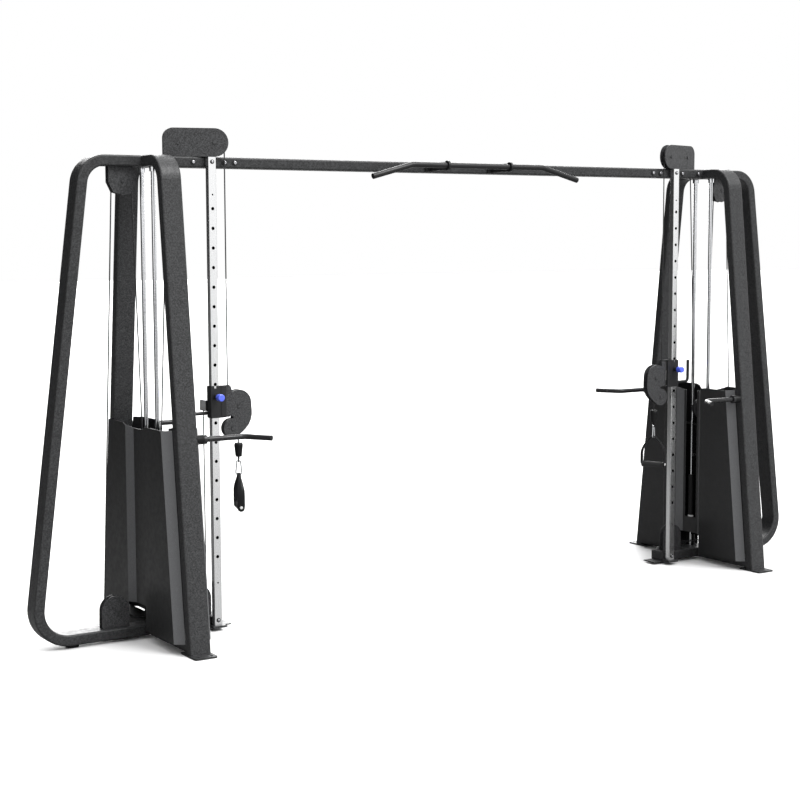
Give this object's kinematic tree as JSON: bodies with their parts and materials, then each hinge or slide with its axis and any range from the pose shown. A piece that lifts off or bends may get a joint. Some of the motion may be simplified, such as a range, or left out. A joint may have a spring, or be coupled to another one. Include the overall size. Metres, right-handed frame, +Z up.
{
  "type": "cable crossover machine",
  "caption": "Free-standing dual-tower cable crossover machine: bent-tube towers with weight stacks, sliding pulley carriages on holed posts, and a pull-up bar on the beam.",
  "frame": {"origin": "on the floor, midway between the two towers", "axes": "+X along the crossbeam towards the right-hand tower, -Y to the front (the side the index holes face), +Z up"},
  "size_m": [4.5958, 1.09, 2.34],
  "materials": {
    "frame_paint": "fine-textured satin powder coat",
    "guard_paint": "fine-textured satin powder coat",
    "shroud_paint": "satin powder coat",
    "carriage_paint": "satin powder coat",
    "pullup_paint": "knurled matt black",
    "plate_paint": "matt black",
    "post_chrome": "satin chrome",
    "rod_chrome": "polished",
    "handle_chrome": "satin",
    "bright_bolt": "polished",
    "link_steel": "polished",
    "pulley_nylon": "moulded nylon",
    "cable_jacket": "smooth jacket",
    "bumper_rubber": "matt",
    "knob_plastic": "gloss",
    "strap_webbing": "woven webbing"
  },
  "bodies": {
    "frame": {"arch_frame_right": "frame_paint", "arch_frame_left": "frame_paint", "side_loop_right": "frame_paint", "side_loop_left": "frame_paint", "base_rails": "frame_paint", "crossbeam": "frame_paint", "mounting_plates": "frame_paint", "frame_bolts": "bright_bolt", "guide_posts": "post_chrome", "pulley_guards": "guard_paint", "fixed_cables": "cable_jacket", "resting_plates": "plate_paint", "guide_rods": "rod_chrome", "rubber_parts": "bumper_rubber", "outer_shrouds": "shroud_paint", "inner_shrouds": "shroud_paint", "pullup_bar": "pullup_paint", "grip_handles": "handle_chrome"},
    "top_inner_pulley_right": {"top_inner_pulley_right": "pulley_nylon"},
    "top_outer_pulley_right": {"top_outer_pulley_right": "pulley_nylon"},
    "loop_top_pulley_right": {"loop_top_pulley_right": "pulley_nylon"},
    "loop_base_pulley_right": {"loop_base_pulley_right": "pulley_nylon"},
    "post_base_pulley_right": {"post_base_pulley_right": "pulley_nylon"},
    "carriage_right": {"carriage_right": "carriage_paint", "cable_upper_run_right": "cable_jacket", "cable_lower_run_right": "cable_jacket"},
    "stack_right": {"stack_head_right": "plate_paint", "stack_cable_in_right": "cable_jacket", "stack_cable_out_right": "cable_jacket"},
    "stack_pulley_right": {"stack_pulley_right": "pulley_nylon"},
    "selector_pin_right": {"selector_pin_right": "knob_plastic"},
    "pull_pin_right": {"pull_pin_right": "knob_plastic"},
    "bracket_right": {"pulley_bracket_right": "guard_paint"},
    "bracket_upper_pulley_right": {"bracket_upper_pulley_right": "pulley_nylon"},
    "bracket_lower_pulley_right": {"bracket_lower_pulley_right": "pulley_nylon"},
    "cable_end_right": {"cable_end_right": "bumper_rubber", "cable_drop_run_right": "cable_jacket"},
    "snap_link_right": {"snap_link_right": "link_steel"},
    "handle_right": {"strap_handle_right": "strap_webbing"},
    "top_inner_pulley_left": {"top_inner_pulley_left": "pulley_nylon"},
    "top_outer_pulley_left": {"top_outer_pulley_left": "pulley_nylon"},
    "loop_top_pulley_left": {"loop_top_pulley_left": "pulley_nylon"},
    "loop_base_pulley_left": {"loop_base_pulley_left": "pulley_nylon"},
    "post_base_pulley_left": {"post_base_pulley_left": "pulley_nylon"},
    "carriage_left": {"carriage_left": "carriage_paint", "cable_upper_run_left": "cable_jacket", "cable_lower_run_left": "cable_jacket"},
    "stack_left": {"stack_head_left": "plate_paint", "stack_cable_in_left": "cable_jacket", "stack_cable_out_left": "cable_jacket"},
    "stack_pulley_left": {"stack_pulley_left": "pulley_nylon"},
    "selector_pin_left": {"selector_pin_left": "knob_plastic"},
    "pull_pin_left": {"pull_pin_left": "knob_plastic"},
    "bracket_left": {"pulley_bracket_left": "guard_paint"},
    "bracket_upper_pulley_left": {"bracket_upper_pulley_left": "pulley_nylon"},
    "bracket_lower_pulley_left": {"bracket_lower_pulley_left": "pulley_nylon"},
    "cable_end_left": {"cable_end_left": "bumper_rubber", "cable_drop_run_left": "cable_jacket"},
    "snap_link_left": {"snap_link_left": "link_steel"},
    "handle_left": {"strap_handle_left": "strap_webbing"}
  },
  "joints": [
    {"name": "carriage_slide_right", "type": "slide", "parent": "frame", "child": "carriage_right", "axis": [0, 0, 1], "range_m": [-0.45, 0.81], "deforming": ["cable_upper_run_right", "cable_lower_run_right"]},
    {"name": "pin_pull_right", "type": "slide", "parent": "carriage_right", "child": "pull_pin_right", "axis": [0, -1, 0], "range_m": [0, 0.012], "stiffness_N_per_m": 900},
    {"name": "bracket_swivel_right", "type": "hinge", "parent": "carriage_right", "child": "bracket_right", "pos_m": [1.34175, -0.06883, 1.056], "axis": [0, 0, 1], "range_deg": [-70, 70]},
    {"name": "cable_pull_right", "type": "slide", "parent": "bracket_right", "child": "cable_end_right", "axis": [0, 0, -1], "range_m": [0, 0.45], "deforming": ["cable_drop_run_right"]},
    {"name": "bracket_upper_turn_right", "type": "hinge", "parent": "bracket_right", "child": "bracket_upper_pulley_right", "pos_m": [1.29175, -0.06883, 1.056], "axis": [0, 1, 0], "range_deg": [-2, 518]},
    {"name": "bracket_lower_turn_right", "type": "hinge", "parent": "bracket_right", "child": "bracket_lower_pulley_right", "pos_m": [1.32375, -0.06883, 0.952], "axis": [0, 1, 0], "range_deg": [-719, 2]},
    {"name": "top_inner_turn_right", "type": "hinge", "parent": "frame", "child": "top_inner_pulley_right", "pos_m": [1.388, -0.056, 2.275], "axis": [-0.2672, 0.9636, 0], "range_deg": [-540, 2]},
    {"name": "top_outer_turn_right", "type": "hinge", "parent": "frame", "child": "top_outer_pulley_right", "pos_m": [1.54989, -0.0111, 2.275], "axis": [-0.2672, 0.9636, 0], "range_deg": [-540, 2]},
    {"name": "stack_lift_right", "type": "slide", "parent": "frame", "child": "stack_right", "axis": [0, 0, 1], "range_m": [0, 0.225], "deforming": ["stack_cable_in_right", "stack_cable_out_right"]},
    {"name": "stack_pulley_turn_right", "type": "hinge", "parent": "stack_right", "child": "stack_pulley_right", "pos_m": [1.697, 0, 0.862], "axis": [0, 1, 0], "range_deg": [-289, 2]},
    {"name": "selector_pull_right", "type": "slide", "parent": "stack_right", "child": "selector_pin_right", "axis": [-1, 0, 0], "range_m": [0, 0.034]},
    {"name": "loop_top_turn_right", "type": "hinge", "parent": "frame", "child": "loop_top_pulley_right", "pos_m": [1.825, 0, 2.097], "axis": [0, 1, 0], "range_deg": [-969, 540]},
    {"name": "loop_base_turn_right", "type": "hinge", "parent": "frame", "child": "loop_base_pulley_right", "pos_m": [1.9, 0, 0.145], "axis": [0, 1, 0], "range_deg": [-969, 540]},
    {"name": "post_base_turn_right", "type": "hinge", "parent": "frame", "child": "post_base_pulley_right", "pos_m": [1.482, 0, 0.145], "axis": [0, 1, 0], "range_deg": [-969, 540]},
    {"name": "link_swing_right", "type": "hinge", "parent": "cable_end_right", "child": "snap_link_right", "pos_m": [1.28775, -0.06883, 0.795], "axis": [0.8988, 0.4384, 0], "range_deg": [-50, 50]},
    {"name": "handle_swing_right", "type": "hinge", "parent": "snap_link_right", "child": "handle_right", "pos_m": [1.28775, -0.06883, 0.729], "axis": [0.8988, 0.4384, 0], "range_deg": [-60, 60]},
    {"name": "carriage_slide_left", "type": "slide", "parent": "frame", "child": "carriage_left", "axis": [0, 0, 1], "range_m": [-0.45, 0.81], "deforming": ["cable_upper_run_left", "cable_lower_run_left"]},
    {"name": "pin_pull_left", "type": "slide", "parent": "carriage_left", "child": "pull_pin_left", "axis": [0, -1, 0], "range_m": [0, 0.012], "stiffness_N_per_m": 900},
    {"name": "bracket_swivel_left", "type": "hinge", "parent": "carriage_left", "child": "bracket_left", "pos_m": [-1.34175, -0.06883, 1.056], "axis": [0, 0, 1], "range_deg": [-70, 70]},
    {"name": "cable_pull_left", "type": "slide", "parent": "bracket_left", "child": "cable_end_left", "axis": [0, 0, -1], "range_m": [0, 0.45], "deforming": ["cable_drop_run_left"]},
    {"name": "bracket_upper_turn_left", "type": "hinge", "parent": "bracket_left", "child": "bracket_upper_pulley_left", "pos_m": [-1.29175, -0.06883, 1.056], "axis": [0, 1, 0], "range_deg": [-518, 2]},
    {"name": "bracket_lower_turn_left", "type": "hinge", "parent": "bracket_left", "child": "bracket_lower_pulley_left", "pos_m": [-1.32375, -0.06883, 0.952], "axis": [0, 1, 0], "range_deg": [-2, 719]},
    {"name": "top_inner_turn_left", "type": "hinge", "parent": "frame", "child": "top_inner_pulley_left", "pos_m": [-1.388, -0.056, 2.275], "axis": [0.2672, 0.9636, 0], "range_deg": [-2, 540]},
    {"name": "top_outer_turn_left", "type": "hinge", "parent": "frame", "child": "top_outer_pulley_left", "pos_m": [-1.54989, -0.0111, 2.275], "axis": [0.2672, 0.9636, 0], "range_deg": [-2, 540]},
    {"name": "stack_lift_left", "type": "slide", "parent": "frame", "child": "stack_left", "axis": [0, 0, 1], "range_m": [0, 0.225], "deforming": ["stack_cable_in_left", "stack_cable_out_left"]},
    {"name": "stack_pulley_turn_left", "type": "hinge", "parent": "stack_left", "child": "stack_pulley_left", "pos_m": [-1.697, 0, 0.862], "axis": [0, 1, 0], "range_deg": [-2, 289]},
    {"name": "selector_pull_left", "type": "slide", "parent": "stack_left", "child": "selector_pin_left", "axis": [1, 0, 0], "range_m": [0, 0.034]},
    {"name": "loop_top_turn_left", "type": "hinge", "parent": "frame", "child": "loop_top_pulley_left", "pos_m": [-1.825, 0, 2.097], "axis": [0, 1, 0], "range_deg": [-540, 969]},
    {"name": "loop_base_turn_left", "type": "hinge", "parent": "frame", "child": "loop_base_pulley_left", "pos_m": [-1.9, 0, 0.145], "axis": [0, 1, 0], "range_deg": [-540, 969]},
    {"name": "post_base_turn_left", "type": "hinge", "parent": "frame", "child": "post_base_pulley_left", "pos_m": [-1.482, 0, 0.145], "axis": [0, 1, 0], "range_deg": [-540, 969]},
    {"name": "link_swing_left", "type": "hinge", "parent": "cable_end_left", "child": "snap_link_left", "pos_m": [-1.28775, -0.06883, 0.795], "axis": [-0.9455, 0.3256, 0], "range_deg": [-50, 50]},
    {"name": "handle_swing_left", "type": "hinge", "parent": "snap_link_left", "child": "handle_left", "pos_m": [-1.28775, -0.06883, 0.729], "axis": [-0.9455, 0.3256, 0], "range_deg": [-60, 60]}
  ],
  "couplings": [
    {"joint": "bracket_upper_turn_right", "follows": "cable_pull_right", "rad_per_m": 20},
    {"joint": "bracket_lower_turn_right", "follows": "cable_pull_right", "rad_per_m": -27.778},
    {"joint": "top_inner_turn_right", "follows": "cable_pull_right", "rad_per_m": -20.833},
    {"joint": "top_outer_turn_right", "follows": "cable_pull_right", "rad_per_m": -20.833},
    {"joint": "stack_pulley_turn_right", "follows": "cable_pull_right", "rad_per_m": -11.111},
    {"joint": "stack_lift_right", "follows": "cable_pull_right", "ratio": 0.5},
    {"joint": "loop_top_turn_right", "follows": "carriage_slide_right", "rad_per_m": -20.833},
    {"joint": "loop_base_turn_right", "follows": "carriage_slide_right", "rad_per_m": -20.833},
    {"joint": "post_base_turn_right", "follows": "carriage_slide_right", "rad_per_m": -20.833},
    {"joint": "bracket_upper_turn_left", "follows": "cable_pull_left", "rad_per_m": -20},
    {"joint": "bracket_lower_turn_left", "follows": "cable_pull_left", "rad_per_m": 27.778},
    {"joint": "top_inner_turn_left", "follows": "cable_pull_left", "rad_per_m": 20.833},
    {"joint": "top_outer_turn_left", "follows": "cable_pull_left", "rad_per_m": 20.833},
    {"joint": "stack_pulley_turn_left", "follows": "cable_pull_left", "rad_per_m": 11.111},
    {"joint": "stack_lift_left", "follows": "cable_pull_left", "ratio": 0.5},
    {"joint": "loop_top_turn_left", "follows": "carriage_slide_left", "rad_per_m": 20.833},
    {"joint": "loop_base_turn_left", "follows": "carriage_slide_left", "rad_per_m": 20.833},
    {"joint": "post_base_turn_left", "follows": "carriage_slide_left", "rad_per_m": 20.833}
  ]
}
